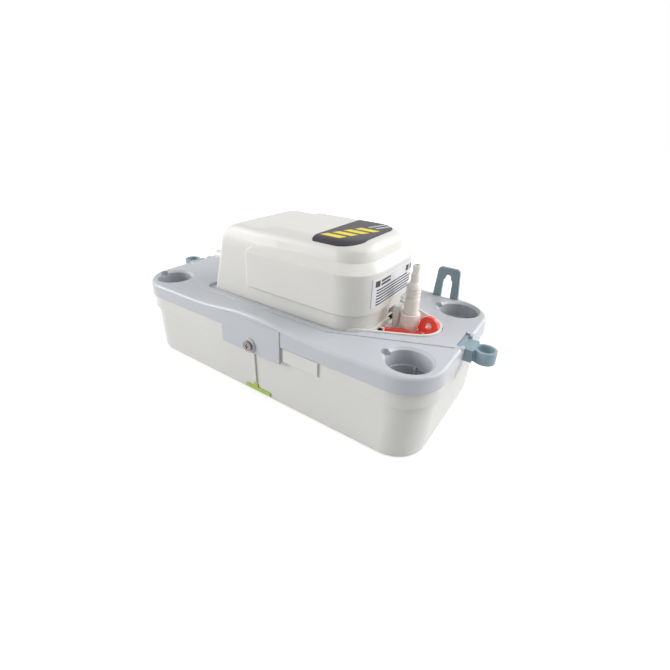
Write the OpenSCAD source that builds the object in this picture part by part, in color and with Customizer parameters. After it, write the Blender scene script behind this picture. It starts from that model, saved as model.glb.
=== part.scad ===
// Condensate tank pump: a lidded reservoir with a vertical-shaft motor and pump, float switch and hose outlet.
// The origin is at the middle of the tank's foot, +X points to the discharge end and +Z points up.

/* [Lid] */
// Length of the lid
lid_l = 280; // [274:1:300]
// Width of the lid
lid_w = 143; // [141:0.5:156]
// Corner radius of the lid
lid_r = 30; // [28:0.5:31]
// Height of the lid's skirt, from the tank's rim to the deck
skirt_h = 12.3; // [11.6:0.1:15]
// Wall of the lid
lid_wall = 2.5; // [2:0.1:2.8]
// How far the skirt stands proud of the tank's band
skirt_reveal = 1.6; // [1.2:0.1:1.9]
// Rise of the lid's edge over each tab
hump_h = 5; // [2:0.5:7]
// Half the length of that rise
hump_half = 62; // [50:1:75]
// Half the width of each tab
tab_half = 29.5; // [20:0.5:31]
// How far each tab reaches below the tank's band
tab_drop = 2.2; // [1:0.1:5]

/* [Tank] */
// Height of the tank at its rim
tank_h = 56.3; // [55:0.1:70]
// Height of the wider band at the rim
band_h = 12.3; // [11:0.1:13]
// Step from the band in to the wall
band_step = 2.2; // [1.5:0.1:3]
// Draft of each wall, from the band to the foot
tank_draft = 2.1; // [1:0.1:4]
// Wall of the tank
tank_wall = 2.5; // [2:0.1:3]
// Floor of the tank
tank_floor = 2.5; // [2:0.1:2.7]
// Rounding at the foot
foot_edge = 3.5; // [2:0.5:5]

/* [Inlets] */
// Bore of each drain inlet
inlet_d = 30; // [26:0.5:31]
// Distance of each inlet from the lid's end and side
inlet_inset = 23.1; // [22.5:0.1:24]
// Chamfer at the mouth of each inlet
inlet_chamfer = 1.8; // [1:0.1:2.2]
// Depth of each inlet's well
inlet_depth = 20; // [16:0.5:21]

/* [Motor cover] */
// Left end of the cover at its foot
cover_x0 = -71.3; // [-74:0.1:-70]
// Right end of the cover's neck
cover_x1 = 77; // [76:0.1:80]
// Width of the cover's neck and tail
cover_w = 84; // [82:0.5:88]
// Wall of the cover
cover_wall = 2.5; // [2:0.1:3]
// Lean of the cover's left end
tail_lean = 9.7; // [6:0.1:11]
// Height above the deck at which the tail starts to round over
tail_side_h = 38; // [36:0.5:40]
// Height of the tail's rounding
tail_round_h = 21; // [19:0.5:22]
// Left end of the belt, the wider band round the motor
belt_x0 = -27; // [-30:0.5:-24]
// Right end of the belt
belt_x1 = 80.5; // [80:0.1:83]
// Width of the belt
belt_w = 94; // [92:0.5:98]
// Height of the belt's lower edge above the deck
belt_lift = 12.5; // [12:0.1:14]
// Height of the belt
belt_h = 30.5; // [28:0.5:32]
// Corner radius of the belt's right end
belt_r = 25; // [22:0.5:28]
// Height of the sloping shoulder over the belt
shoulder_h = 5.8; // [3:0.1:7]
// How far the shoulder draws in
shoulder_in = 6.3; // [4:0.1:7]
// Height of the raised top over the shoulder
crown_h = 13.2; // [11:0.1:16]

/* [Nose] */
// Radius of the nose round the outlet
nose_r = 20; // [19:0.5:21]
// Place of the nose's round end along the lid
nose_x = 100; // [99:0.5:102]
// Place of the outlet along the lid
valve_x = 95.6; // [94:0.1:97]
// Depth of the nose's recess round the outlet
tub_depth = 5; // [4:0.1:5.5]
// Height of the white lip above its seat
lip_h = 2.6; // [1.5:0.1:2.8]
// Thickness of the lip
lip_t = 1.6; // [1.2:0.1:2]

/* [Outlet] */
// Outside diameter of the valve body above the deck
socket_d = 14.4; // [14:0.1:16]
// Height of the valve body above the recess floor
socket_h = 14.4; // [13.5:0.1:16]
// Diameter of the lower hose tail
tail_d = 10.9; // [10:0.1:12]
// Diameter of the upper hose tail
tip_d = 6.4; // [6:0.1:7]
// Height of the lower hose tail
tail_h = 22.5; // [20:0.5:25]
// Height of the upper hose tail
tip_h = 14.5; // [12:0.5:18]
// Bore of the outlet
outlet_bore = 4; // [3:0.1:4.4]
// Number of ribs on the lower hose tail
rib_n = 4; // [3:1:5]

/* [Release lever] */
// Length of the lever's legs, from the pivot to the outside of the bridge
lever_leg_l = 25; // [24:0.5:26]
// Thickness of each leg
leg_t = 2.6; // [2:0.1:3]
// Height of each leg
leg_h = 2.8; // [2.4:0.1:3]
// Radius of the finger ring
finger_r = 6.9; // [6:0.1:7.2]
// Hole of the finger ring
finger_hole_d = 5; // [4:0.1:6]

/* [Brackets] */
// Hole of each end bracket, for a threaded rod
rod_hole_d = 11.2; // [9:0.1:11.5]
// Outside diameter of each end bracket's ring
rod_ring_d = 15; // [14.5:0.1:17]
// Reach of each end bracket's ring axis beyond the lid's end
rod_reach = 11.8; // [11:0.1:16]
// Height of each end bracket
bracket_h = 9; // [7:0.1:9.5]
// Width of each hanging bracket at its foot
hanger_w = 21.8; // [20:0.1:22]
// Width of each hanging bracket at its head
hanger_head_w = 18.4; // [17:0.1:19]
// Height of each hanging bracket above the deck
hanger_h = 26; // [22:0.5:32]
// Thickness of each hanging bracket
hanger_t = 3.2; // [2.6:0.1:3.4]
// Width of the keyhole's slot
key_slot_w = 4.8; // [4.2:0.1:5.4]
// Width of the keyhole below its slot
key_wide_w = 8.2; // [7.5:0.1:9]

/* [Motor] */
// Place of the motor's axis along the lid
motor_x = 25; // [22:0.5:27]
// Shaft diameter
shaft_d = 6; // [5:0.1:6.4]
// Rotor diameter
rotor_d = 26; // [24:0.5:27]
// Height of the rotor and of the lamination stack
stack_h = 22; // [20:0.5:24]
// Diameter of the cooling fan
fan_d = 46; // [36:1:50]
// Number of fan blades
fan_n = 7; // [5:1:9]

/* [Pump] */
// Diameter of the impeller
impeller_d = 40; // [34:1:42]
// Number of impeller blades
blade_n = 6; // [4:1:7]
// Diameter of the suction eye
eye_d = 16; // [12:0.5:18]
// Bore of the riser tube
riser_bore = 8; // [6.5:0.1:8.4]
// Wall of the riser tube
riser_wall = 2; // [1.5:0.1:2.2]

/* [Float] */
// Diameter of the float
float_d = 40; // [34:1:42]
// Height of the float
float_h = 20; // [16:0.5:22]
// Travel of the float
float_travel = 16; // [12:0.5:16]
// Place of the float's guide along the lid
float_x = -45; // [-46:0.5:-44]

/* [Hidden] */

// Overrun of every cut
cut = 1;
// Clearance of pieces that slip past one another
fit = 0.3;
// Clearance of a running or sliding fit
run = 0.05;
// Steps of a lofted corner and of a lofted edge
corner_steps = 8;
edge_steps = 4;
// Steps along the lid's long sides
side_steps = 18;
$fn = 64;

// Levels
deck_z = tank_h + skirt_h;
crease_h = 0.6;
valley_h = 1;
seat_z = deck_z - valley_h;
under_z = deck_z - lid_wall;
plate_h = 2.5;
plate_z = seat_z + plate_h;

// Tank outline, from the lid's
band_l = lid_l - 2 * skirt_reveal;
band_w = lid_w - 2 * skirt_reveal;
band_r = lid_r - skirt_reveal;
band_z = tank_h - band_h;
band_under = 0.8;
foot_l = band_l - 2 * (band_step + tank_draft);
foot_w = band_w - 2 * (band_step + tank_draft);

// Lid details
deck_edge = 3;
deck_edge_up = 2.6;
crease_in = 20.5;
crease_x = 55;
crease_end = 16;
crease_gap = 4.5;
valley_gap = 4.5;
opening_in = 10;
rib_t = 1.8;
rib_drop = 3.5;
tab_t = 0.5;
tab_edge = 1.5;
lid_screw_d = 4;
lid_screw_l = 12;
lid_head_d = 8;
lid_head_h = 2.2;
lid_slot_share = 0.6;
lid_slot_w = 1;
screw_drop = 8.3;
boss_d = 12.5;
boss_t = 0.9;
tank_boss_d = 9;
tank_boss_l = 9;

// Tank details
pad_x0 = 32;
pad_x1 = 62.5;
pad_t = 1;
pad_edge = 0.7;
sight_w = 2.6;
sight_t = 1.1;
sight_z0 = 11.5;
slit_w = 0.9;
slit_h = 9;
slit_y = 13;
slit_depth = 1;
tag_x0 = -11;
tag_x1 = 15;
tag_z = 0.9;
tag_h = 3.4;
tag_tongue_w = 4;
tag_tongue_h = 3.4;
tag_t = 0.5;

// Inlet details
inlet_wall = 1.4;
inlet_ledge = 0.8;
inlet_ledge_z = 13;
inlet_rib_t = 1;
inlet_rib_l = 2.5;
notch_r = 3.6;
notch_reach = 19.8;
notch_depth = 4;
inlet_x = lid_l / 2 - inlet_inset;
inlet_y = lid_w / 2 - inlet_inset;

// Cover details
cover_r0 = 6;
belt_r0 = 3;
belt_edge = 1;
tail_in = 19;
tail_side_in = 6.5;
shoulder_edge = 1.2;
crown_edge = 10;
crown_round_h = 7;
crown_round_a = 35;
crown_draft = 1;
belt_z = deck_z + belt_lift;
belt_top = belt_z + belt_h;
crown_z = belt_top + shoulder_h;
cover_top = crown_z + crown_h;
tail_z = deck_z + tail_side_h;
tail_top = tail_z + tail_round_h;
neck_r = belt_r - 1;
cover_boss_d = 8;
cover_boss_l = 14;
cover_boss_places = [-55, 44];
cover_boss_share = 0.4;
cover_screw_d = 3;
cover_head_d = 6;
cover_head_h = 2.2;
cover_screw_l = 12;

// Labels
label_t = 0.3;
top_label_x0 = 30;
top_label_x1 = 65.5;
top_label_w = 68;
top_label_r0 = 2;
top_label_r1 = 16;
top_label_y = -3;
rating_w = 64;
rating_h = 21;
rating_up = 5.5;

// Cable gland
gland_d = 7.6;
gland_l = 13.6;
gland_bore = 4.6;
gland_collar_d = 9.8;
gland_collar_t = 1.8;
gland_up = 27.4;
gland_x = -72;
gland_y = -34;
gland_z = deck_z + gland_up;

// Nose details
nose_half = 40;
nose_x0 = 65;
nose_gap = 0.4;
floor_t = 2.6;
tub_wall = 2;
buttress_w = 8;
buttress_l = 4.2;
buttress_h = 18;
buttress_gap = 0.8;
vent_w = 10;
vent_h = 6;
vent_y = 6.5;

// Valve details
chamber_l = 22;
chamber_bore = 10.8;
sleeve_wall = 2;
valve_in_bore = 6;
valve_in_l = 6;
valve_seat_l = 4;
valve_ledge_t = 2;
valve_ledge_bore = 6.4;
socket_bore = 10;
waist_depth = 0.8;
waist_h = 6;
poppet_d = 9.6;
poppet_t = 2.4;
poppet_lift = 4;
poppet_stem_d = 3;
poppet_stem_l = 14;
spring_wire = 0.7;
spring_r = 3.4;
spring_turns = 5;
spigot_clear = 0.1;
oring_t = 1.4;
oring_up = 4;
spigot_gap = 1;
rib_out = 0.55;
tip_low_share = 0.55;
tip_neck_share = 0.8;
tip_bead_share = 0.92;
tip_bead_h = 2;
step_h = 2;
tub_x = cover_x1 + tub_wall;
tub_z = seat_z - tub_depth;
valve_z = tub_z - floor_t;
chamber_z = valve_z - chamber_l;
socket_top = tub_z + socket_h;
ledge_z = valve_z - valve_ledge_t;

// Release lever details
leg_y = socket_d / 2 - waist_depth + fit;
finger_t = 3;
finger_up = 1.5;
finger_gap = 0.9;
foot_y = 12.4;
leg_bend = 12.5;
leg_bridge_t = 2.2;
pin_d = 1.6;
pin_eye_d = 3.6;
pin_head_d = 3.6;
pin_head_t = 1.5;
ear_t = 2;
ear_gap = 0.3;
ear_w = 4.4;
leg_z = tub_z + fit;
pin_z = leg_z + pin_eye_d / 2;
leg_x1 = valve_x + socket_d / 2 + finger_gap + leg_bridge_t;
pin_x = leg_x1 - lever_leg_l;

// Bracket details
tee_w = 22;
tee_t = 2.6;
tee_web = 2.2;
tee_h = 10;
mouth_w = 17.6;
socket_floor = 0.9;
socket_wall = 2;
bracket_neck_w = 11;
bracket_block_l = 5.5;
hanger_web = 1.8;
hanger_lip = 3;
hanger_x_in = 40.8;
key_slot_top = 5.8;
key_slot_l = 7;
hanger_bar = 3.5;
hanger_round = 3;
socket_z = tank_h + socket_floor;
bracket_z = socket_z + fit;

// Motor details
mount_d = 10;
mount_h = 9.9;
mount_waist_share = 0.7;
mount_x = 26;
mount_y = 26;
bridge_t = 3;
bridge_l = 47;
bridge_w = 62;
bridge_r = 6;
top_bridge_l = 18;
bearing_d = 12;
bearing_h = 7;
bearing_cup = 2;
stack_gap = 1;
air_gap = 0.35;
stack_w = 56;
stack_right = 28;
stack_left = 47;
limb_w = 8;
coil_limb = 14;
window_l = 18;
bolt_d = 4;
bolt_y = 22;
bolt_head_d = 7;
bolt_head_h = 2.6;
bobbin_l = 34;
bobbin_t = 1.2;
bobbin_flange = 6;
coil_t = 5;
fan_hub_d = 12;
fan_h = 6;
fan_plate_t = 1.2;
fan_blade_t = 1.4;
rotor_ring_t = 2;
bridge_z = plate_z + mount_h;
stack_z = bridge_z + bridge_t + stack_gap;
stack_top = stack_z + stack_h;
top_bridge_z = stack_top + stack_gap;
fan_z = top_bridge_z + bridge_t + bearing_h + fit;

// Pump details
casing_lift = 3.5;
casing_floor = 2.5;
casing_wall = 2.5;
casing_h = 11.5;
spiral_gap = 3;
spiral_grow = 5;
flange_t = 3;
flange_rim = 2.8;
stem_d = 22;
stem_bore = 14;
stem_rib_t = 2;
stem_rib_l = 6;
impeller_plate = 1.6;
impeller_h = 7;
impeller_gap = 1;
impeller_hub_d = 10;
blade_t = 1.4;
blade_r = 15;
slinger_d = 12.6;
slinger_t = 1.6;
slinger_up = 22;
seal_t = 3;
duct_l = 34;
spigot_l = 5;
spigot_wall = 0.9;
elbow_r = 10;
strainer_d = 30;
strainer_wall = 1.6;
strainer_n = 12;
strainer_slot = 2.4;
casing_screw_n = 3;
casing_screw_d = 3;
casing_screw_l = 8;
casing_head_d = 5.6;
casing_head_h = 2;
lug_d = 8.6;
casing_z = tank_floor + casing_lift;
casing_top = casing_z + casing_h;
impeller_z = casing_z + casing_floor + impeller_gap;
spiral_r = impeller_d / 2 + spiral_gap;
duct_y = spiral_r + spiral_grow / 2;
duct_turn = asin(duct_y / (valve_x - motor_x));
duct_run = sqrt(pow(valve_x - motor_x, 2) - pow(duct_y, 2));

// Float details
guide_d = 10;
guide_clear = 0.4;
guide_flange_d = 18;
guide_flange_t = 2;
guide_lift = 1.5;
guide_groove = 1;
groove_share = 0.8;
clip_mouth_share = 0.6;
float_clip_t = 1.2;
float_clip_d = 15;
float_round = 3;
rod_d = 3;
rod_off = 14;
rod_clear = 0.3;
lever_arm = 38;
lever_t = 3;
lever_w = 11.4;
lever_gap = 0.4;
lever_pin_d = 3;
lever_eye_d = 7;
lever_over = 4;
lever_lift = 5;
switch_w = 6.2;
switch_l = 20;
switch_h = 10;
switch_rise = 9.5;
plunger_d = 2.4;
plunger_l = 7;
plunger_travel = 1.2;
plunger_arm = 8;
wall_t = 2.5;
bracket_foot = 14;
terminal_l = 26;
terminal_w = 12;
terminal_h = 12;
terminal_low_share = 0.6;
terminal_hole_share = 0.3;
terminal_step = 3;
terminal_n = 5;
terminal_hole = 3.2;
terminal_pitch = 5;
terminal_y = -31;
terminal_x = -35;
guide_bottom = tank_floor + guide_lift;
float_z = guide_bottom + float_clip_t + guide_groove + fit;
lever_z = plate_z + lever_lift;
lever_pivot_y = lever_arm - rod_off;
lever_pivot_z = lever_z + lever_t / 2;
lever_x = float_x;
switch_z = lever_z + lever_t + switch_rise;
bracket_x = lever_x - lever_w / 2 - wall_t - fit;

// A rounded rectangle of points at one height, anticlockwise, with its own corner radius at each end
function ring(x0, x1, half, r0, r1, z) = [
  for (c = [[x0 + r0, -half + r0, r0, 180], [x1 - r1, -half + r1, r1, 270],
            [x1 - r1, half - r1, r1, 0], [x0 + r0, half - r0, r0, 90]])
    for (i = [0 : corner_steps])
      [c[0] + c[2] * cos(c[3] + 90 * i / corner_steps), c[1] + c[2] * sin(c[3] + 90 * i / corner_steps), z]];

// Height of the lid's edge above the deck at one place along it
function hump(x) = abs(x) < hump_half ? hump_h * (1 + cos(180 * x / hump_half)) / 2 : 0;

// The lid's outline drawn in by one amount, its long sides in steps that can rise with the hump
function lid_ring(inset, z, rise) =
  let (straight = lid_l / 2 - lid_r, half = lid_w / 2 - inset, r = lid_r - inset, flat = ring(
    -lid_l / 2 + inset, lid_l / 2 - inset, half, r, r, z), n = corner_steps + 1)
  [for (k = [0 : 3]) each concat(
    [for (i = [0 : n - 1]) flat[k * n + i]],
    k == 0 ? [for (i = [1 : side_steps - 1])
      let (x = -straight + 2 * straight * i / side_steps) [x, -half, z + rise * hump(x)]] :
    k == 2 ? [for (i = [1 : side_steps - 1])
      let (x = straight - 2 * straight * i / side_steps) [x, half, z + rise * hump(x)]] : [])];

// A solid through rings of equally many points, from the lowest to the highest
module loft(rings) {
  n = len(rings[0]);
  m = len(rings);
  sides = [for (k = [0 : m - 2]) for (i = [0 : n - 1]) let (j = (i + 1) % n)
    each [[k * n + i, (k + 1) * n + i, (k + 1) * n + j], [k * n + i, (k + 1) * n + j, k * n + j]]];
  floor_face = [for (i = [0 : n - 1]) i];
  roof_face = [for (i = [n - 1 : -1 : 0]) (m - 1) * n + i];
  polyhedron([for (r = rings) each r], concat([floor_face], sides, [roof_face]), convexity = 6);
}

// A flat rounded rectangle
module plate(x0, x1, half, r0, r1) {
  for (s = [-1, 1]) {
    translate([x0 + r0, s * (half - r0)])
      circle(r = r0);
    translate([x1 - r1, s * (half - r1)])
      circle(r = r1);
  }
  polygon([[x0 + r0, -half], [x1 - r1, -half], [x1, -half + r1], [x1, half - r1], [x1 - r1, half],
    [x0 + r0, half], [x0, half - r0], [x0, -half + r0]]);
}

// A round bar or hole that starts at the origin
module rod(d, l) {
  cylinder(d = d, h = l);
}

// A pipe that starts at the origin
module pipe(d, bore, l) {
  difference() {
    rod(d, l);
    translate([0, 0, -cut])
      rod(bore, l + 2 * cut);
  }
}

// The tank's outline at one height
function tank_ring(inset, z) = ring(-band_l / 2 + inset, band_l / 2 - inset, band_w / 2 - inset,
  band_r - inset, band_r - inset, z);

module tank() {
  wall_in = band_step + tank_draft;
  color([0.86, 0.85, 0.83])
    difference() {
      union() {
        difference() {
          loft(concat(
            [for (i = [0 : edge_steps])
              let (a = 90 * i / edge_steps)
              tank_ring(wall_in + foot_edge * (1 - sin(a)), foot_edge * (1 - cos(a)))],
            [tank_ring(band_step, band_z - band_under), tank_ring(0, band_z), tank_ring(0, tank_h)]));
          loft([tank_ring(wall_in + tank_wall, tank_floor), tank_ring(band_step + tank_wall, band_z),
            tank_ring(tank_wall, band_z + tank_wall), tank_ring(tank_wall, tank_h + cut)]);
        }
        tank_pad();
        tank_sight_rib();
        for (s = [-1, 1])
          translate([0, s * (band_w / 2 - tank_wall / 2), tank_h - screw_drop])
            rotate([s * 90, 0, 0])
              rod(tank_boss_d, tank_boss_l);
      }
      for (s = [-1, 1])
        translate([0, s * (band_w / 2 + cut), tank_h - screw_drop])
          rotate([s * 90, 0, 0])
            rod(lid_screw_d + 2 * run, lid_screw_l + cut);
      for (sx = [-1, 1], sy = [-1, 1])
        translate([sx * band_l / 2, sy * slit_y, band_z])
          cube([2 * slit_depth, slit_w, slit_h], center = true);
    }
}

// The raised grip pad on the band, beside the front tab
module tank_pad() {
  translate([pad_x0, -band_w / 2 - pad_t, band_z + pad_edge])
    cube([pad_x1 - pad_x0, pad_t + tank_wall / 2, band_h - 2 * pad_edge]);
}

// The narrow upright rib that follows the front wall's draft
module tank_sight_rib() {
  rise = band_z - sight_z0;
  lean = tank_draft * rise / (band_z - foot_edge);
  y0 = -foot_w / 2 - tank_draft * (sight_z0 - foot_edge) / (band_z - foot_edge);
  translate([-sight_w / 2, 0, 0])
    rotate([90, 0, 90])
      linear_extrude(sight_w)
        polygon([[y0 - sight_t, sight_z0], [y0 - sight_t - lean, band_z], [y0 - lean + tank_wall / 2, band_z],
          [y0 + tank_wall / 2, sight_z0]]);
}

module tank_tag() {
  lean = atan(tank_draft / (band_z - foot_edge));
  color([0.62, 0.78, 0.28])
    translate([tag_x0, -foot_w / 2 - fit, foot_edge])
      rotate([lean, 0, 0])
        translate([0, -tag_t, 0])
          union() {
            cube([tag_x1 - tag_x0, tag_t, tag_h]);
            translate([-tag_x0 - tag_tongue_w / 2, 0, 0])
              cube([tag_tongue_w, tag_t, tag_h + tag_tongue_h]);
          }
}

// Outline of the nose round the outlet: two lines from the housing that run tangent to a circle
module nose_outline(grow) {
  r = nose_r + grow;
  half = nose_half + grow;
  dx = nose_x0 - nose_x;
  reach = sqrt(dx * dx + half * half);
  turn = atan2(half, dx) - acos(r / reach);
  tx = nose_x + r * cos(turn);
  ty = r * sin(turn);
  translate([nose_x, 0])
    circle(r = r);
  polygon([[nose_x0, -half], [tx, -ty], [tx, ty], [nose_x0, half]]);
}

module lid() {
  color([0.76, 0.77, 0.79])
    difference() {
      union() {
        difference() {
          loft(concat(
            [lid_ring(0, tank_h, 0), lid_ring(0, deck_z - deck_edge_up, 1)],
            [for (i = [1 : edge_steps])
              let (a = 90 * i / edge_steps)
              lid_ring(deck_edge * (1 - cos(a)), deck_z - deck_edge_up * (1 - sin(a)), 1)],
            [lid_ring(crease_in, deck_z, 0)]));
          loft([lid_ring(lid_wall, tank_h - cut, 0), lid_ring(lid_wall, under_z - deck_edge_up, 1),
            lid_ring(lid_wall + deck_edge, under_z, 1), lid_ring(crease_in, under_z, 0)]);
        }
        lid_crease_plate();
        lid_rim_rib();
        for (s = [-1, 1])
          lid_tab(s);
        for (sx = [-1, 1], sy = [-1, 1])
          translate([sx * inlet_x, sy * inlet_y, 0])
            inlet_well();
        for (s = [-1, 1])
          translate([s * lid_l / 2, 0, 0])
            end_socket_block(s);
        for (s = [-1, 1])
          hanger_socket_block(s);
      }
      for (sx = [-1, 1], sy = [-1, 1])
        translate([sx * inlet_x, sy * inlet_y, 0])
          inlet_bore();
      for (s = [-1, 1])
        translate([s * lid_l / 2, 0, 0])
          end_socket_cut(s);
      for (s = [-1, 1])
        hanger_socket_cut(s);
      lid_housing_cuts();
      for (s = [-1, 1])
        translate([0, s * (screw_face() + cut), tank_h - screw_drop])
          rotate([s * 90, 0, 0])
            rod(lid_screw_d + 2 * fit, lid_wall + tab_t + boss_t + 3 * cut);
      place_cover_screws()
        translate([0, 0, under_z - cut])
          rod(cover_screw_d + 2 * fit, plate_h + lid_wall + 2 * cut);
    }
}

// The raised middle of the deck, which narrows to the end sockets
module lid_crease_plate() {
  half = lid_w / 2 - crease_in;
  end_x = lid_l / 2 - crease_gap;
  translate([0, 0, under_z])
    linear_extrude(lid_wall + crease_h)
      polygon([[-crease_x - crease_in, -half], [crease_x, -half], [end_x, -crease_end], [end_x, crease_end],
        [crease_x, half], [-crease_x - crease_in, half], [-end_x, crease_end], [-end_x, -crease_end]]);
}

// The rib under the deck that locates the lid inside the tank's rim
module lid_rim_rib() {
  gap = skirt_reveal + tank_wall + fit;
  translate([0, 0, tank_h - rib_drop])
    linear_extrude(skirt_h - lid_wall + rib_drop + cut / 2)
      difference() {
        plate(-lid_l / 2 + gap, lid_l / 2 - gap, lid_w / 2 - gap, lid_r - gap, lid_r - gap);
        plate(-lid_l / 2 + gap + rib_t, lid_l / 2 - gap - rib_t, lid_w / 2 - gap - rib_t,
          lid_r - gap - rib_t, lid_r - gap - rib_t);
      }
}

// The flat tab that hangs over the band, with its round screw boss
module lid_tab(s) {
  top = deck_z + hump(tab_half) - deck_edge_up;
  low = band_z - tab_drop;
  translate([0, s * (band_w / 2 + fit), 0])
    mirror([0, s < 0 ? 1 : 0, 0]) {
      translate([-tab_half, 0, low])
        cube([2 * tab_half, skirt_reveal - fit + tab_t, top - low]);
      translate([0, skirt_reveal - fit + tab_t - cut, tank_h - screw_drop])
        rotate([-90, 0, 0])
          rod(boss_d, boss_t + cut);
    }
}

// The wall of one inlet's well, drawn in towards its foot
module inlet_well() {
  r_top = inlet_d / 2 + inlet_wall;
  translate([0, 0, under_z - inlet_depth + lid_wall])
    cylinder(r1 = r_top - inlet_ledge, r2 = r_top, h = inlet_depth - lid_wall / 2);
  translate([-notch_reach + notch_r, 0, deck_z - notch_depth - inlet_wall])
    rod(2 * (notch_r + inlet_wall), notch_depth + inlet_wall - lid_wall / 2);
}

// The bore of one inlet: a chamfered mouth, a straight well, a ledge and a finger notch
module inlet_bore() {
  low = deck_z - inlet_depth;
  difference() {
    union() {
      translate([0, 0, deck_z - inlet_ledge_z])
        rod(inlet_d, inlet_ledge_z + crease_h + cut);
      translate([0, 0, low - cut])
        rod(inlet_d - 2 * inlet_ledge, inlet_depth + cut);
      translate([0, 0, deck_z - inlet_chamfer])
        cylinder(r1 = inlet_d / 2, r2 = inlet_d / 2 + inlet_chamfer, h = inlet_chamfer);
      translate([0, 0, deck_z])
        rod(inlet_d + 2 * inlet_chamfer, crease_h + cut);
      translate([-notch_reach + notch_r, 0, deck_z - notch_depth])
        rod(2 * notch_r, notch_depth + crease_h + cut);
      translate([-notch_reach + notch_r, -notch_r, deck_z - notch_depth])
        cube([notch_r, 2 * notch_r, notch_depth + crease_h + cut]);
    }
    translate([-inlet_rib_t / 2, inlet_d / 2 - inlet_ledge - inlet_rib_l, low - cut])
      cube([inlet_rib_t, inlet_rib_l + inlet_ledge, inlet_depth - inlet_ledge_z + cut]);
  }
}

// The pocket wall of an end bracket's socket, inside the skirt
module end_socket_block(s) {
  depth = skirt_web() + tee_t + 2 * fit + socket_wall;
  translate([s < 0 ? 0 : -depth, -tee_w / 2 - fit - socket_wall, tank_h + fit])
    cube([depth, tee_w + 2 * (fit + socket_wall), skirt_h - fit]);
}

function skirt_web() = tee_web;

// The tee slot of an end bracket, open at the deck
module end_socket_cut(s) {
  slot = tee_t + 2 * fit;
  translate([s < 0 ? skirt_web() : -skirt_web() - slot, -tee_w / 2 - fit, socket_z])
    cube([slot, tee_w + 2 * fit, skirt_h + cut]);
  translate([s < 0 ? -cut : -skirt_web() - cut, -mouth_w / 2, socket_z])
    cube([skirt_web() + 2 * cut, mouth_w, skirt_h + cut]);
}

// The pocket wall of a hanging bracket's socket, inside the rear skirt
module hanger_socket_block(s) {
  depth = hanger_web + hanger_t + 2 * fit + socket_wall;
  wide = hanger_w + 2 * (fit + socket_wall);
  translate([s * hanger_x() - wide / 2, lid_w / 2 - depth, tank_h + fit])
    cube([wide, depth - deck_edge, skirt_h - fit - deck_edge_up / 2]);
  translate([s * hanger_x() - wide / 2, lid_w / 2 - depth, tank_h + fit])
    cube([wide, depth, skirt_h - deck_edge_up - fit]);
}

// The slot of a hanging bracket, open at the deck and at the rear face
module hanger_socket_cut(s) {
  slot = hanger_t + 2 * fit;
  translate([s * hanger_x() - hanger_w / 2 - fit, lid_w / 2 - hanger_web - slot, socket_z])
    cube([hanger_w + 2 * fit, slot, skirt_h + cut]);
  translate([s * hanger_x() - hanger_w / 2 + hanger_lip, lid_w / 2 - hanger_web - cut, socket_z])
    cube([hanger_w - 2 * hanger_lip, hanger_web + 2 * cut, skirt_h + cut]);
}

function hanger_x() = lid_l / 2 - hanger_x_in;

// The recess round the housing, the opening that the chassis hangs through, and the nose cut-out
module lid_housing_cuts() {
  translate([0, 0, seat_z])
    linear_extrude(valley_h + crease_h + cut)
      plate(cover_x0 - valley_gap, cover_x1 + valley_gap / 2, cover_w / 2 + valley_gap, cover_r0, neck_r);
  translate([0, 0, under_z - cut])
    linear_extrude(lid_wall + 2 * cut) {
      plate(cover_x0 + opening_in, cover_x1 - opening_in, cover_w / 2 - opening_in, cover_r0,
        neck_r - opening_in);
      nose_outline(0);
    }
}

// The face of the tab's boss, under the lid screw's head
function screw_face() = band_w / 2 + skirt_reveal + tab_t + boss_t;

module lid_screws() {
  color([0.62, 0.62, 0.62])
    for (s = [-1, 1])
      translate([0, s * screw_face(), tank_h - screw_drop])
        rotate([s * 90, 0, 0]) {
          translate([0, 0, -lid_head_h])
            difference() {
              rod(lid_head_d, lid_head_h);
              for (a = [0, 90])
                rotate([0, 0, a])
                  cube([lid_head_d * lid_slot_share, lid_slot_w, lid_head_h], center = true);
            }
          rod(lid_screw_d, lid_screw_l + skirt_reveal);
        }
}

// Rings of the cover's neck and tail, drawn in by a wall
function tail_ring(t, left, side, right, z) = ring(cover_x0 + left + t, right - t, cover_w / 2 - side - t,
  cover_r0, neck_r - t, z);

function tail_rings(t) = concat(
  [tail_ring(t, 0, 0, cover_x1, t > 0 ? seat_z - cut : seat_z),
   tail_ring(t, tail_lean * (belt_z - seat_z) / tail_side_h, 0, cover_x1, belt_z + belt_edge + t)],
  [for (i = [0 : 2 * edge_steps])
    let (a = 90 * i / (2 * edge_steps))
    tail_ring(t, tail_lean + tail_in * (1 - cos(a)), tail_side_in * (1 - cos(a)), motor_x,
      tail_z + tail_round_h * sin(a) - (i > 0 ? t : 0))]);

// Rings of the cover's belt, shoulder and raised top, drawn in by a wall
function belt_ring(t, inset, z) = ring(belt_x0 + inset + t, belt_x1 - inset - t, belt_w / 2 - inset - t,
  belt_r0, belt_r - (inset + t) / 2, z);

function belt_rings(t) = concat(
  [belt_ring(t, t > 0 ? 0 : belt_edge, belt_z + t), belt_ring(t, 0, belt_z + belt_edge + t),
   belt_ring(t, 0, belt_top - shoulder_edge - t / 2), belt_ring(t, shoulder_edge / 4, belt_top - shoulder_edge / 4 - t / 2),
   belt_ring(t, shoulder_edge, belt_top - t / 2), belt_ring(t, shoulder_in, crown_z - t / 2)],
  [for (i = [0 : edge_steps])
    let (a = crown_round_a + (90 - crown_round_a) * i / edge_steps)
    belt_ring(t, shoulder_in + crown_draft + crown_edge * (1 - cos(a) / cos(crown_round_a)),
      cover_top - (i > 0 ? t : t / 2) - crown_round_h * (1 - sin(a)) / (1 - sin(crown_round_a)))]);

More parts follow.
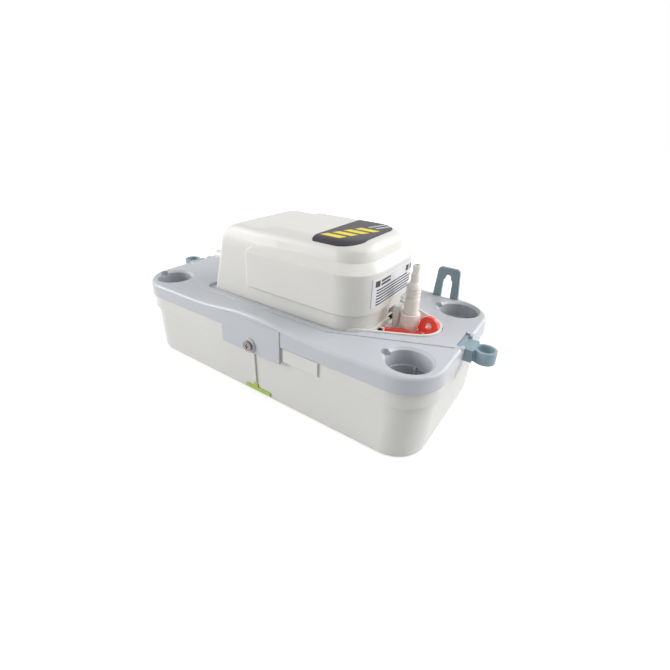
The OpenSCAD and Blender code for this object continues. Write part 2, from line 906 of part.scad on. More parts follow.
module motor_cover() {
  color([0.87, 0.86, 0.84])
    difference() {
      union() {
        difference() {
          union() {
            loft(tail_rings(0));
            loft(belt_rings(0));
          }
          loft(tail_rings(cover_wall));
          loft(belt_rings(cover_wall));
        }
        place_cover_screws()
          translate([0, 0, plate_z])
            rod(cover_boss_d, cover_boss_l);
      }
      place_cover_screws()
        translate([0, 0, plate_z - cut])
          rod(cover_screw_d + 2 * run, cover_boss_l);
      translate([gland_x - cut, gland_y, gland_z])
        rotate([0, 90, 0])
          rod(gland_d + 2 * run, gland_l + cut);
      translate([gland_x + gland_l - gland_collar_t - run, gland_y, gland_z])
        rotate([0, 90, 0])
          rod(gland_collar_d + 2 * run, gland_l);
      translate([cover_x1 - cover_wall - cut, vent_y - vent_w / 2, seat_z + fit])
        cube([cover_wall + 2 * cut, vent_w, vent_h]);
    }
}

// The four places where the cover's screws stand, beside its long walls
module place_cover_screws() {
  side = cover_w / 2 - cover_wall - cover_boss_d * cover_boss_share;
  for (x = cover_boss_places, s = [-1, 1])
    translate([x, s * side, 0])
      children();
}

module cover_screws() {
  color([0.45, 0.45, 0.46])
    place_cover_screws()
      translate([0, 0, under_z]) {
        rod(cover_screw_d, cover_screw_l);
        translate([0, 0, -cover_head_h])
          rod(cover_head_d, cover_head_h);
      }
}

// A film that follows the raised top and the rounding of its front edge
module top_label() {
  color([0.16, 0.15, 0.19])
    intersection() {
      difference() {
        loft(belt_rings(-label_t));
        loft(belt_rings(0));
      }
      translate([0, top_label_y, crown_z])
        linear_extrude(crown_h + 2 * label_t)
          plate(top_label_x0, top_label_x1, top_label_w / 2, top_label_r0, top_label_r1);
    }
}

// A film on the belt's right end, bent round both corners
module rating_label() {
  color([0.8, 0.81, 0.83])
    translate([0, 0, belt_z + rating_up])
      linear_extrude(rating_h)
        intersection() {
          difference() {
            plate(belt_x0, belt_x1 + label_t, belt_w / 2 + label_t, belt_r0, belt_r + label_t);
            plate(belt_x0 - cut, belt_x1, belt_w / 2, belt_r0, belt_r);
          }
          translate([belt_x1 - belt_r / 2, -rating_w / 2])
            square([belt_r, rating_w]);
        }
}

// The cord's inlet: a bush through the end wall, with a collar inside
module cable_gland() {
  color([0.8, 0.79, 0.77])
    translate([gland_x, gland_y, gland_z])
      rotate([0, 90, 0])
        difference() {
          union() {
            rod(gland_d, gland_l);
            translate([0, 0, gland_l - gland_collar_t])
              rod(gland_collar_d, gland_collar_t);
          }
          translate([0, 0, -cut])
            rod(gland_bore, gland_l + 2 * cut);
        }
}

// The plate that carries motor and float, the pump's stem below it and the recess round the outlet
module pump_chassis() {
  color([0.88, 0.88, 0.87])
    difference() {
      union() {
        translate([0, 0, seat_z])
          linear_extrude(plate_h)
            chassis_outline();
        translate([0, 0, seat_z - floor_t])
          linear_extrude(floor_t)
            nose_outline(-nose_gap);
        translate([0, 0, seat_z - floor_t])
          linear_extrude(floor_t + plate_h)
            intersection() {
              nose_outline(-nose_gap);
              chassis_outline();
            }
        nose_tub();
        translate([valve_x, 0, chamber_z])
          rod(socket_d + 2 * (fit + sleeve_wall), chamber_l + floor_t / 2);
        pump_stem();
      }
      translate([0, 0, tub_z])
        linear_extrude(tub_depth + cut)
          tub_outline(-nose_gap - lip_t, tub_x);
      translate([tub_x - 4 * tub_wall, vent_y - vent_w / 2, tub_z])
        cube([4 * tub_wall + cut, vent_w, tub_depth + plate_h + cut]);
      translate([valve_x, 0, chamber_z - cut])
        rod(socket_d + 2 * fit, chamber_l + floor_t + 2 * cut);
      translate([motor_x, 0, casing_top - cut])
        rod(stem_bore, plate_z - casing_top + 2 * cut);
      place_cover_screws()
        translate([0, 0, seat_z - cut])
          rod(cover_screw_d + 2 * fit, plate_h + 2 * cut);
      translate([float_x, -rod_off, seat_z - cut])
        rod(rod_d + 2 * rod_clear, plate_h + 2 * cut);
      place_casing_screws()
        translate([0, 0, casing_top - cut])
          rod(casing_screw_d + 2 * run, casing_screw_l);
    }
  color([0.88, 0.88, 0.87])
    nose_fittings();
}

// The plate's outline inside the cover's wall
module chassis_outline() {
  gap = cover_wall + fit;
  lean = tail_lean * (plate_h + 2 * cut) / tail_side_h;
  plate(cover_x0 + gap + lean, cover_x1 - gap, cover_w / 2 - gap, cover_r0 - gap / 2, neck_r - gap);
}

// The nose outline from one place along the lid to its tip
module tub_outline(grow, from) {
  intersection() {
    nose_outline(grow);
    translate([from, -cover_w])
      square([2 * nose_r + nose_x, 2 * cover_w]);
  }
}

// The outside of the recess and the lip on its rim, open where the cover stands
module nose_tub() {
  translate([0, 0, valve_z])
    linear_extrude(tub_depth + floor_t)
      tub_outline(-nose_gap, tub_x - tub_wall);
  translate([0, 0, seat_z - floor_t / 2])
    linear_extrude(lip_h + floor_t / 2)
      difference() {
        nose_outline(-nose_gap);
        nose_outline(-nose_gap - lip_t);
        plate(cover_x0, cover_x1 + fit, cover_w / 2 + fit, cover_r0, neck_r);
      }
}

// What stands on the recess floor: the block behind the valve body and the ears of the lever's pins
module nose_fittings() {
  x1 = valve_x - socket_d / 2 - buttress_gap;
  translate([x1 - buttress_l, -buttress_w / 2, tub_z - floor_t / 2])
    cube([buttress_l, buttress_w, buttress_h + floor_t / 2]);
  difference() {
    for (s = [-1, 1])
      translate([pin_x - ear_w / 2, s * (foot_y + leg_t + ear_gap + ear_t / 2) - ear_t / 2, tub_z - floor_t / 2])
        cube([ear_w, ear_t, pin_z + ear_w / 2 - tub_z + floor_t / 2]);
    translate([pin_x, 0, pin_z])
      rotate([90, 0, 0])
        translate([0, 0, -cover_w / 2])
          rod(pin_d, cover_w);
  }
}

// The hollow stem, its ribs and the flange that closes the pump casing
module pump_stem() {
  translate([motor_x, 0, casing_top]) {
    rod(stem_d, plate_z - casing_top - plate_h / 2);
    rod(2 * (spiral_r + spiral_grow + casing_wall + casing_screw_d + flange_rim), flange_t);
    for (a = [45 : 90 : 315])
      rotate([0, 0, a])
        translate([0, -stem_rib_t / 2, 0])
          cube([stem_d / 2 + stem_rib_l, stem_rib_t, plate_z - casing_top - plate_h / 2]);
  }
}

// Two short pins that carry the lever's legs in their ears
module lever_pins() {
  color([0.2, 0.2, 0.2])
    for (s = [-1, 1])
      translate([pin_x, s * (foot_y + ear_gap), pin_z])
        rotate([s * -90, 0, 0])
          pin();
}

module pin() {
  head_y = leg_t + ear_t;
  rod(pin_d, head_y);
  translate([0, 0, head_y])
    rod(pin_head_d, pin_head_t);
}

// A cartridge that slides down into the chassis's sleeve and spigots into the riser
module valve_body() {
  color([0.9, 0.86, 0.83])
    translate([valve_x, 0, 0])
      difference() {
        union() {
          translate([0, 0, chamber_z])
            rod(socket_d, socket_top - chamber_z);
          translate([0, 0, chamber_z - valve_in_l])
            rod(riser_bore - 2 * run, valve_in_l);
        }
        translate([0, 0, chamber_z - valve_in_l - cut])
          rod(valve_in_bore, valve_in_l + valve_seat_l + 2 * cut);
        translate([0, 0, chamber_z + valve_seat_l])
          rod(chamber_bore, ledge_z - chamber_z - valve_seat_l);
        translate([0, 0, ledge_z - cut])
          rod(valve_ledge_bore, valve_ledge_t + 2 * cut);
        translate([0, 0, valve_z])
          rod(socket_bore, floor_t + socket_h + cut);
        translate([0, 0, tub_z])
          difference() {
            rod(socket_d + 2 * cut, waist_h);
            translate([0, 0, -cut])
              rod(socket_d - 2 * waist_depth, waist_h + 2 * cut);
          }
      }
}

module valve_poppet() {
  color([0.25, 0.25, 0.27])
    translate([valve_x, 0, chamber_z + valve_seat_l + run]) {
      rod(poppet_d, poppet_t);
      rod(poppet_stem_d, poppet_stem_l);
    }
}

// A coil spring of one unbroken tube, between the poppet and the ledge over it
spring_z0 = chamber_z + valve_seat_l + poppet_t + spring_wire / 2 + 2 * run;
spring_z1 = ledge_z - spring_wire / 2 - run;
spring_rings = 8;
spring_sides = 6;
spring_pitch = (spring_z1 - spring_z0) / spring_turns;
echo(str("spring gap to itself ", spring_pitch - spring_wire));

function spring_point(k) = let (a = 360 * k / spring_rings)
  [spring_r * cos(a), spring_r * sin(a), spring_z0 + spring_pitch * k / spring_rings];

module valve_spring() {
  last = spring_turns * spring_rings;
  points = [for (k = [0 : last]) let (a = 360 * k / spring_rings, p = spring_point(k))
    for (j = [0 : spring_sides - 1])
      let (b = 360 * j / spring_sides, r = spring_wire / 2 * cos(b))
      [p[0] + r * cos(a), p[1] + r * sin(a), p[2] + spring_wire / 2 * sin(b)]];
  n = spring_sides;
  walls = [for (k = [0 : last - 1]) for (j = [0 : n - 1]) let (i = (j + 1) % n)
    each [[k * n + j, k * n + i, (k + 1) * n + i], [k * n + j, (k + 1) * n + i, (k + 1) * n + j]]];
  color([0.75, 0.75, 0.76])
    translate([valve_x, 0, 0])
      polyhedron(points, concat([[for (j = [n - 1 : -1 : 0]) j]], walls, [[for (j = [0 : n - 1]) last * n + j]]));
}

// The stepped hose tail: a spigot with a seal groove, a ribbed lower tail, a shoulder and a beaded tip
module outlet_adapter() {
  spigot_d = socket_bore - 2 * spigot_clear;
  tip_z = fit + tail_h;
  color([0.9, 0.88, 0.84])
    translate([valve_x, 0, socket_top])
      difference() {
        union() {
          translate([0, 0, -socket_h - floor_t + spigot_gap])
            rod(spigot_d, socket_h + floor_t - spigot_gap + fit);
          translate([0, 0, fit])
            rod(tail_d, tail_h / 2);
          translate([0, 0, fit + tail_h / 2])
            rod(tail_d - 4 * rib_out, tail_h / 2);
          for (i = [0 : rib_n - 1])
            translate([0, 0, fit + tail_h / 2 + tail_h / 2 * i / rib_n])
              cylinder(d1 = tail_d, d2 = tail_d - 4 * rib_out, h = tail_h / 2 / rib_n);
          translate([0, 0, tip_z])
            cylinder(d1 = tail_d - 4 * rib_out, d2 = tip_d, h = step_h);
          translate([0, 0, tip_z])
            rod(tip_d, tip_h * tip_low_share);
          translate([0, 0, tip_z])
            rod(tip_d * tip_neck_share, tip_h);
          translate([0, 0, tip_z + tip_h - tip_bead_h])
            rod(tip_d * tip_bead_share, tip_bead_h);
        }
        translate([0, 0, -socket_h - floor_t - cut])
          rod(outlet_bore, socket_h + floor_t + tip_z + tip_h + 3 * cut);
        translate([0, 0, -socket_h - floor_t + oring_up - oring_t / 2 - run])
          difference() {
            rod(socket_bore, oring_t + 2 * run);
            translate([0, 0, -cut])
              rod(socket_bore - 2 * oring_t - 2 * run, oring_t + 3 * cut);
          }
      }
}

module adapter_oring() {
  color([0.1, 0.1, 0.1])
    translate([valve_x, 0, valve_z + oring_up])
      rotate_extrude()
        translate([socket_bore / 2 - oring_t / 2 - run / 2, 0])
          circle(d = oring_t - run, $fn = 32);
}

// A fork that pivots on two pins and straddles the valve body's waist, with an upright finger ring
module release_lever() {
  color([0.92, 0.22, 0.16])
    difference() {
      union() {
        for (s = [-1, 1])
          mirror([0, s < 0 ? 1 : 0, 0])
            lever_leg();
        translate([leg_x1 - leg_bridge_t, -leg_y - leg_t, leg_z])
          cube([leg_bridge_t, 2 * (leg_y + leg_t), leg_h]);
        finger_ring();
      }
      translate([pin_x, cover_w / 2, pin_z])
        rotate([90, 0, 0])
          rod(pin_d + 2 * run, cover_w);
    }
}

// One leg, bent in towards the valve body, with a round eye at its pin
module lever_leg() {
  bend_x = pin_x + leg_bend;
  slant = (foot_y - leg_y) / leg_bend;
  shift = leg_t * (sqrt(1 + slant * slant) - 1) / slant;
  translate([0, 0, leg_z])
    linear_extrude(leg_h)
      polygon([[pin_x, foot_y], [bend_x, leg_y], [leg_x1, leg_y], [leg_x1, leg_y + leg_t],
        [bend_x + shift, leg_y + leg_t], [pin_x, foot_y + leg_t]]);
  translate([pin_x, foot_y, pin_z])
    rotate([-90, 0, 0])
      rod(pin_eye_d, leg_t);
}

module finger_ring() {
  translate([leg_x1 - leg_bridge_t + finger_r, finger_t / 2, leg_z + finger_up + finger_r])
    rotate([90, 0, 0])
      difference() {
        union() {
          rod(2 * finger_r, finger_t);
          translate([-finger_r, -finger_r - finger_up, 0])
            cube([leg_bridge_t, finger_r + finger_up, finger_t]);
        }
        translate([0, 0, -cut])
          rod(finger_hole_d, finger_t + 2 * cut);
      }
}

// A tee that drops into the lid's end socket, a block and a ring for a threaded rod
module end_bracket(s) {
  tee_x = lid_l / 2 - tee_web - fit - tee_t;
  ring_x = lid_l / 2 + rod_reach;
  color([0.48, 0.56, 0.6])
    mirror([s < 0 ? 1 : 0, 0, 0])
      translate([0, 0, bracket_z])
        difference() {
          union() {
            translate([tee_x, -tee_w / 2, 0])
              cube([tee_t, tee_w, tee_h]);
            translate([tee_x + tee_t / 2, -mouth_w / 2 + fit, 0])
              cube([lid_l / 2 + bracket_block_l - tee_x - tee_t / 2, mouth_w - 2 * fit, bracket_h]);
            translate([lid_l / 2, -bracket_neck_w / 2, 0])
              cube([rod_reach, bracket_neck_w, bracket_h]);
            translate([ring_x, 0, 0])
              rod(rod_ring_d, bracket_h);
          }
          translate([ring_x, 0, -cut])
            rod(rod_hole_d, bracket_h + 2 * cut);
        }
}

module end_bracket_right() {
  end_bracket(1);
}

module end_bracket_left() {
  end_bracket(-1);
}

// A plate with rounded head and a keyhole that opens wide below its slot
module hanging_bracket(s) {
  foot_z = bracket_z - deck_z;
  r = hanger_round;
  color([0.48, 0.56, 0.6])
    translate([s * hanger_x(), lid_w / 2 - hanger_web - fit, deck_z])
      rotate([90, 0, 0])
        linear_extrude(hanger_t)
          difference() {
            union() {
              polygon([[-hanger_w / 2, foot_z], [hanger_w / 2, foot_z], [hanger_w / 2, 0],
                [hanger_head_w / 2, hanger_h - r], [-hanger_head_w / 2, hanger_h - r], [-hanger_w / 2, 0]]);
              translate([-hanger_head_w / 2 + r, hanger_h - r])
                circle(r = r);
              translate([hanger_head_w / 2 - r, hanger_h - r])
                circle(r = r);
              translate([-hanger_head_w / 2 + r, hanger_h - r])
                square([hanger_head_w - 2 * r, r]);
            }
            hanger_keyhole(foot_z);
          }
}

module hanger_keyhole(foot_z) {
  top = hanger_h - key_slot_top;
  low = top - key_slot_l;
  translate([0, top - key_slot_w / 2])
    circle(d = key_slot_w);
  translate([-key_slot_w / 2, low])
    square([key_slot_w, key_slot_l - key_slot_w / 2]);
  translate([0, low])
    circle(d = key_wide_w);
  translate([-key_wide_w / 2, foot_z + hanger_bar])
    square([key_wide_w, low - foot_z - hanger_bar]);
}

module hanging_bracket_right() {
  hanging_bracket(1);
}

module hanging_bracket_left() {
  hanging_bracket(-1);
}

// The laminated core: a ring round the rotor, two limbs and a limb through the coil
module stator_core() {
  color([0.5, 0.5, 0.52])
    translate([motor_x, 0, stack_z])
      linear_extrude(stack_h)
        difference() {
          translate([-stack_left, -stack_w / 2])
            square([stack_left + stack_right, stack_w]);
          circle(d = rotor_d + 2 * air_gap);
          translate([-stack_left + coil_limb, -stack_w / 2 + limb_w])
            square([window_l, stack_w - 2 * limb_w]);
          for (s = [-1, 1])
            translate([0, s * bolt_y])
              circle(d = bolt_d + 2 * fit);
        }
}

// The coil's former: a sleeve on the core's far limb with two flanges
module coil_bobbin() {
  x0 = motor_x - stack_left - fit - bobbin_t;
  wide = coil_limb + 2 * (fit + bobbin_t);
  tall = stack_h + 2 * (fit + bobbin_t);
  z0 = stack_z - fit - bobbin_t;
  color([0.25, 0.25, 0.27])
    difference() {
      union() {
        translate([x0, -bobbin_l / 2, z0])
          cube([wide, bobbin_l, tall]);
        for (s = [-1, 1])
          translate([x0 - bobbin_flange, s * (bobbin_l / 2 - bobbin_t) - bobbin_t / 2, z0 - bobbin_flange])
            cube([wide + 2 * bobbin_flange, bobbin_t, tall + 2 * bobbin_flange]);
      }
      translate([x0 + bobbin_t, -bobbin_l, z0 + bobbin_t])
        cube([wide - 2 * bobbin_t, 2 * bobbin_l, tall - 2 * bobbin_t]);
    }
}

// The winding on the former
module stator_coil() {
  x0 = motor_x - stack_left - fit - bobbin_t - run;
  wide = coil_limb + 2 * (fit + bobbin_t + run);
  tall = stack_h + 2 * (fit + bobbin_t + run);
  long = bobbin_l - 3 * bobbin_t - 2 * fit;
  z0 = stack_z - fit - bobbin_t - run;
  color([0.7, 0.4, 0.2])
    difference() {
      translate([x0 - coil_t, -long / 2, z0 - coil_t])
        cube([wide + 2 * coil_t, long, tall + 2 * coil_t]);
      translate([x0, -long / 2 - cut, z0])
        cube([wide, long + 2 * cut, tall]);
    }
}

module bearing_bridge_bottom() {
  color([0.66, 0.67, 0.68])
    translate([motor_x, 0, bridge_z])
      difference() {
        union() {
          linear_extrude(bridge_t)
            plate(-bridge_l / 2, bridge_l / 2, bridge_w / 2, bridge_r, bridge_r);
          translate([0, 0, bridge_t - bearing_h])
            rod(bearing_d + 2 * bearing_cup, bearing_h - bridge_t / 2);
          for (s = [-1, 1])
            translate([0, s * bolt_y, bridge_t / 2])
              rod(bolt_d + 2 * bearing_cup, bridge_t / 2 + stack_gap);
        }
        translate([0, 0, bridge_t - bearing_h - cut])
          rod(bearing_d, bearing_h + 2 * cut);
        for (s = [-1, 1])
          translate([0, s * bolt_y, -cut])
            rod(bolt_d + 2 * run, bridge_t + stack_gap + 2 * cut);
        place_mounts()
          translate([0, 0, -cut])
            rod(bolt_d, bridge_t + 2 * cut);
      }
}

module bearing_bridge_top() {
  color([0.66, 0.67, 0.68])
    translate([motor_x, 0, top_bridge_z])
      difference() {
        union() {
          linear_extrude(bridge_t)
            plate(-top_bridge_l / 2, top_bridge_l / 2, stack_w / 2, bridge_r, bridge_r);
          rod(bearing_d + 2 * bearing_cup, bearing_h);
          for (s = [-1, 1])
            translate([0, s * bolt_y, -stack_gap])
              rod(bolt_d + 2 * bearing_cup, stack_gap + bridge_t / 2);
        }
        translate([0, 0, -cut])
          rod(bearing_d, bearing_h + 2 * cut);
        for (s = [-1, 1])
          translate([0, s * bolt_y, -stack_gap - cut])
            rod(bolt_d + 2 * run, bridge_t + stack_gap + 2 * cut);
      }
}

module bearing_bottom() {
  color([0.72, 0.55, 0.3])
    translate([motor_x, 0, bridge_z + bridge_t - bearing_h])
      pipe(bearing_d, shaft_d + 2 * run, bearing_h);
}

module bearing_top() {
  color([0.72, 0.55, 0.3])
    translate([motor_x, 0, top_bridge_z])
      pipe(bearing_d, shaft_d + 2 * run, bearing_h);
}

module motor_bolts() {
  top = top_bridge_z + bridge_t;
  color([0.6, 0.6, 0.6])
    for (s = [-1, 1])
      translate([motor_x, s * bolt_y, bridge_z]) {
        rod(bolt_d, top - bridge_z);
        translate([0, 0, top - bridge_z])
          rod(bolt_head_d, bolt_head_h);
      }
}

// The four places of the rubber mounts
module place_mounts() {
  for (sx = [-1, 1], sy = [-1, 1])
    translate([sx * (bridge_l / 2 - bridge_r), sy * (bridge_w / 2 - bridge_r), 0])
      children();
}

// Waisted rubber mounts with a spigot into the bridge
module rubber_mounts() {
  waist = mount_d * mount_waist_share;
  color([0.13, 0.13, 0.13])
    translate([motor_x, 0, plate_z])
      place_mounts() {
        rod(mount_d, mount_h / 3);
        rod(waist, mount_h);
        translate([0, 0, mount_h * 2 / 3])
          rod(mount_d, mount_h / 3);
        rod(bolt_d - 2 * run, mount_h + bridge_t);
      }
}

// The rotor, skewless, with its two end rings
module rotor() {
  color([0.55, 0.56, 0.58])
    translate([motor_x, 0, stack_z])
      difference() {
        union() {
          rod(rotor_d, stack_h);
          translate([0, 0, -stack_gap / 2])
            rod(rotor_d - 2 * rotor_ring_t, stack_h + stack_gap);
        }
        translate([0, 0, -cut])
          rod(shaft_d, stack_h + 2 * cut);
      }
}

module motor_shaft() {
  color([0.78, 0.78, 0.8])
    translate([motor_x, 0, impeller_z])
      rod(shaft_d, fan_z + fan_h - impeller_z);
}

// A plate fan with upright blades on a hub
module cooling_fan() {
  color([0.2, 0.22, 0.26])
    translate([motor_x, 0, fan_z])
      difference() {
        union() {
          rod(fan_hub_d, fan_h);
          rod(fan_d, fan_plate_t);
          for (i = [0 : fan_n - 1])
            rotate([0, 0, 360 * i / fan_n])
              translate([fan_hub_d / 3, -fan_blade_t / 2, 0])
                cube([fan_d / 2 - fan_hub_d / 3 - fan_blade_t, fan_blade_t, fan_h]);
        }
        translate([0, 0, -cut])
          rod(shaft_d, fan_h + 2 * cut);
      }
}

// A disc on the shaft that throws off water before it climbs to the motor
module shaft_slinger() {
  color([0.15, 0.15, 0.15])
    translate([motor_x, 0, casing_top + slinger_up])
      pipe(slinger_d, shaft_d, slinger_t);
}

module shaft_seal() {
  color([0.1, 0.1, 0.1])
    translate([motor_x, 0, casing_top])
      pipe(stem_bore, shaft_d + 2 * run, seal_t);
}

// The arc of one impeller blade, a slice of a thin ring
module blade() {
  intersection() {
    translate([0, blade_r])
      difference() {
        circle(r = blade_r);
        circle(r = blade_r - blade_t);
      }
    square([impeller_d, impeller_d]);
    circle(d = impeller_d - blade_t);
    square([blade_r, impeller_d]);
  }
}

module impeller() {
  color([0.3, 0.32, 0.36])
    translate([motor_x, 0, impeller_z])
      difference() {
        union() {
          rod(impeller_hub_d, impeller_h);
          translate([0, 0, impeller_h - impeller_plate])
            rod(impeller_d, impeller_plate);
          linear_extrude(impeller_h - impeller_plate / 2)
            for (i = [0 : blade_n - 1])
              rotate([0, 0, 360 * i / blade_n])
                blade();
        }
        translate([0, 0, -cut])
          rod(shaft_d, impeller_h + 2 * cut);
      }
}

// The spiral of the casing: its radius grows steadily round the impeller
spiral_points = 36;
function spiral_at(a) = spiral_r + spiral_grow * (1 - a / 360);

function spiral(grow) = [for (i = [0 : spiral_points - 1])
  let (a = 360 * i / spiral_points, r = spiral_at(a) + grow)
  [r * cos(a - 90), r * sin(a - 90)]];

module pump_casing() {
  color([0.85, 0.85, 0.84])
    difference() {
      union() {
        casing_frame()
          linear_extrude(casing_h)
            polygon(spiral(casing_wall));
        casing_frame()
          translate([0, -duct_y, casing_h / 2])
            rotate([0, 90, 0]) {
              rod(casing_h - 2 * fit, duct_l);
              rod(riser_bore - 2 * run, duct_l + spigot_l);
            }
        place_casing_screws()
          translate([0, 0, casing_z])
            rod(lug_d, casing_h);
      }
      casing_frame()
        translate([0, 0, casing_floor])
          linear_extrude(casing_h)
            polygon(spiral(0));
      casing_frame()
        translate([0, -duct_y, casing_h / 2])
          rotate([0, 90, 0])
            rod(riser_bore - 2 * spigot_wall - 2 * run, duct_l + spigot_l + cut);
      translate([motor_x, 0, casing_z - cut])
        rod(eye_d, casing_floor + 2 * cut);
      place_casing_screws()
        translate([0, 0, casing_z - cut])
          rod(casing_screw_d + 2 * fit, casing_h + 2 * cut);
    }
}

// The casing is turned so that its duct points at the outlet
module casing_frame() {
  translate([motor_x, 0, casing_z])
    rotate([0, 0, duct_turn])
      children();
}

module place_casing_screws() {
  for (i = [0 : casing_screw_n - 1])
    let (a = 360 * (i + 0.5) / casing_screw_n, r = spiral_at(a) + casing_wall + casing_screw_d / 2 + 2 * fit)
      translate([motor_x, 0, 0])
        rotate([0, 0, a - 90 + duct_turn])
          translate([r, 0, 0])
            children();
}

module casing_screws() {
  color([0.6, 0.6, 0.6])
    place_casing_screws()
      translate([0, 0, casing_z]) {
        rod(casing_screw_d, casing_h + casing_screw_l / 2);
        translate([0, 0, -casing_head_h])
          rod(casing_head_d, casing_head_h);
      }
}

// A slotted ring round the suction eye
module suction_strainer() {
  color([0.3, 0.3, 0.32])
    translate([motor_x, 0, tank_floor + fit])
      difference() {
        pipe(strainer_d, strainer_d - 2 * strainer_wall, casing_lift - fit);
        for (i = [0 : strainer_n - 1])
          rotate([0, 0, 360 * i / strainer_n])
            translate([strainer_d / 2 - 2 * strainer_wall, -strainer_slot / 2, -cut])
              cube([3 * strainer_wall, strainer_slot, casing_lift / 2 + cut]);
      }
}

// A pipe from the casing's duct, a round elbow and an upright pipe to the valve body
module riser_tube() {
  color([0.8, 0.8, 0.79])
    difference() {
      riser_route(riser_bore + 2 * riser_wall, 0);
      riser_route(riser_bore, cut);
    }
}

module riser_route(d, over) {
  casing_frame()
    translate([0, -duct_y, casing_h / 2]) {
      translate([duct_l - over, 0, 0])
        rotate([0, 90, 0])
          rod(d, duct_run - elbow_r - duct_l + over);
      translate([duct_run - elbow_r, 0, elbow_r])
        rotate([90, 0, 0])
          rotate([0, 0, -90])
            rotate_extrude(angle = 90)
              translate([elbow_r, 0])
                circle(d = d);
      translate([duct_run, 0, elbow_r])
        rod(d, chamber_z - casing_z - casing_h / 2 - elbow_r + over);
    }
}

module float_guide() {
  color([0.85, 0.85, 0.84])
    translate([float_x, 0, guide_bottom])
      difference() {
        union() {
          rod(guide_d, seat_z - guide_bottom);
          translate([0, 0, seat_z - guide_bottom - guide_flange_t])
            rod(guide_flange_d, guide_flange_t);
        }
        translate([0, 0, guide_groove])
          difference() {
            rod(guide_d + cut, float_clip_t + 2 * run);
            translate([0, 0, -cut])
              rod(guide_d * groove_share, float_clip_t + 3 * cut);
          }
      }
}

module float_clip() {
  color([0.6, 0.6, 0.6])
    translate([float_x, 0, guide_bottom + guide_groove + run])
      difference() {
        pipe(float_clip_d, guide_d * groove_share + 2 * run, float_clip_t);
        translate([0, -guide_d * clip_mouth_share / 2, -cut])
          cube([float_clip_d, guide_d * clip_mouth_share, float_clip_t + 2 * cut]);
      }
}

// A closed float with rounded rims that slides on its guide
module float_body() {
  bore = guide_d + 2 * guide_clear;
  r = float_round;
  color([0.93, 0.92, 0.9])
    translate([float_x, 0, float_z])
      difference() {
        rotate_extrude() {
          translate([bore / 2, 0])
            square([float_d / 2 - bore / 2 - r, float_h]);
          translate([float_d / 2 - r, r])
            circle(r = r);
          translate([float_d / 2 - r, float_h - r])
            circle(r = r);
          translate([bore / 2, r])
            square([float_d / 2 - bore / 2, float_h - 2 * r]);
        }
        translate([0, -rod_off, float_h / 2])
          rod(rod_d, float_h);
      }
}

module float_rod() {
  color([0.7, 0.7, 0.72])
    translate([float_x, -rod_off, float_z + float_h / 2])
      rod(rod_d, lever_z - lever_gap - float_z - float_h / 2);
}

// A foot, an upright wall and the lever's pin in one bent piece
module switch_bracket() {
  top = switch_z + switch_h;
  color([0.66, 0.67, 0.68])
    difference() {
      union() {
        translate([bracket_x, lever_pivot_y - switch_l, plate_z])
          cube([wall_t, switch_l + bracket_foot / 2, top - plate_z]);
        translate([bracket_x, lever_pivot_y - bracket_foot / 2, plate_z])
          cube([bracket_foot, bracket_foot, wall_t / 2]);
        translate([bracket_x + wall_t / 2, lever_pivot_y, lever_pivot_z])
          rotate([0, 90, 0])
            rod(lever_pin_d, lever_w + wall_t + 2 * fit);
      }
      translate([bracket_x - cut, lever_pivot_y - switch_l - cut, plate_z - cut])
        cube([wall_t + 2 * cut, switch_l / 2, lever_lift + lever_t]);
    }
}

module switch_lever() {
  color([0.88, 0.88, 0.87])
    translate([lever_x, lever_pivot_y, lever_pivot_z])
      difference() {
        union() {
          translate([-lever_w / 2, -lever_arm - lever_over, -lever_t / 2])
            cube([lever_w, lever_arm + lever_over, lever_t]);
          translate([-lever_w / 2, 0, 0])
            rotate([0, 90, 0])
              rod(lever_eye_d, lever_w);
        }
        translate([-lever_w / 2 - cut, 0, 0])
          rotate([0, 90, 0])
            rod(lever_pin_d + 2 * run, lever_w + 2 * cut);
      }
}

// A small switch body with a hole for its plunger
module micro_switch(side) {
  x0 = side < 0 ? bracket_x + wall_t : bracket_x + wall_t + switch_w;
  translate([x0, lever_pivot_y - switch_l + lever_eye_d / 2, switch_z])
    difference() {
      cube([switch_w, switch_l, switch_h]);
      translate([switch_w / 2, switch_l - lever_eye_d / 2 - plunger_arm, -cut])
        rod(plunger_d + 2 * run, plunger_l + cut);
    }
}

module pump_switch() {
  color([0.16, 0.16, 0.17])
    micro_switch(-1);
}

module alarm_switch() {
  color([0.55, 0.12, 0.1])
    micro_switch(1);
}

module switch_plunger(side) {
  x0 = side < 0 ? bracket_x + wall_t : bracket_x + wall_t + switch_w;
  translate([x0 + switch_w / 2, lever_pivot_y - plunger_arm, switch_z + plunger_l - plunger_travel - fit])
    mirror([0, 0, 1])
      rod(plunger_d, plunger_l + switch_rise / 2);
}

module pump_plunger() {
  color([0.9, 0.9, 0.88])
    switch_plunger(-1);
}

module alarm_plunger() {
  color([0.9, 0.9, 0.88])
    switch_plunger(1);
}

// A stepped block with a row of wire entries
module terminal_block() {
  color([0.9, 0.89, 0.85])
    translate([terminal_x - terminal_l / 2, terminal_y - terminal_w / 2, plate_z])
      difference() {
        union() {
          cube([terminal_l, terminal_w, terminal_h * terminal_low_share]);
          translate([0, terminal_step, 0])
            cube([terminal_l, terminal_w - 2 * terminal_step, terminal_h]);
        }
        for (i = [0 : terminal_n - 1])
          translate([terminal_l / 2 + terminal_pitch * (i - (terminal_n - 1) / 2), -cut,
            terminal_h * terminal_hole_share])
            rotate([-90, 0, 0])
              rod(terminal_hole, terminal_w + 2 * cut);
      }
}

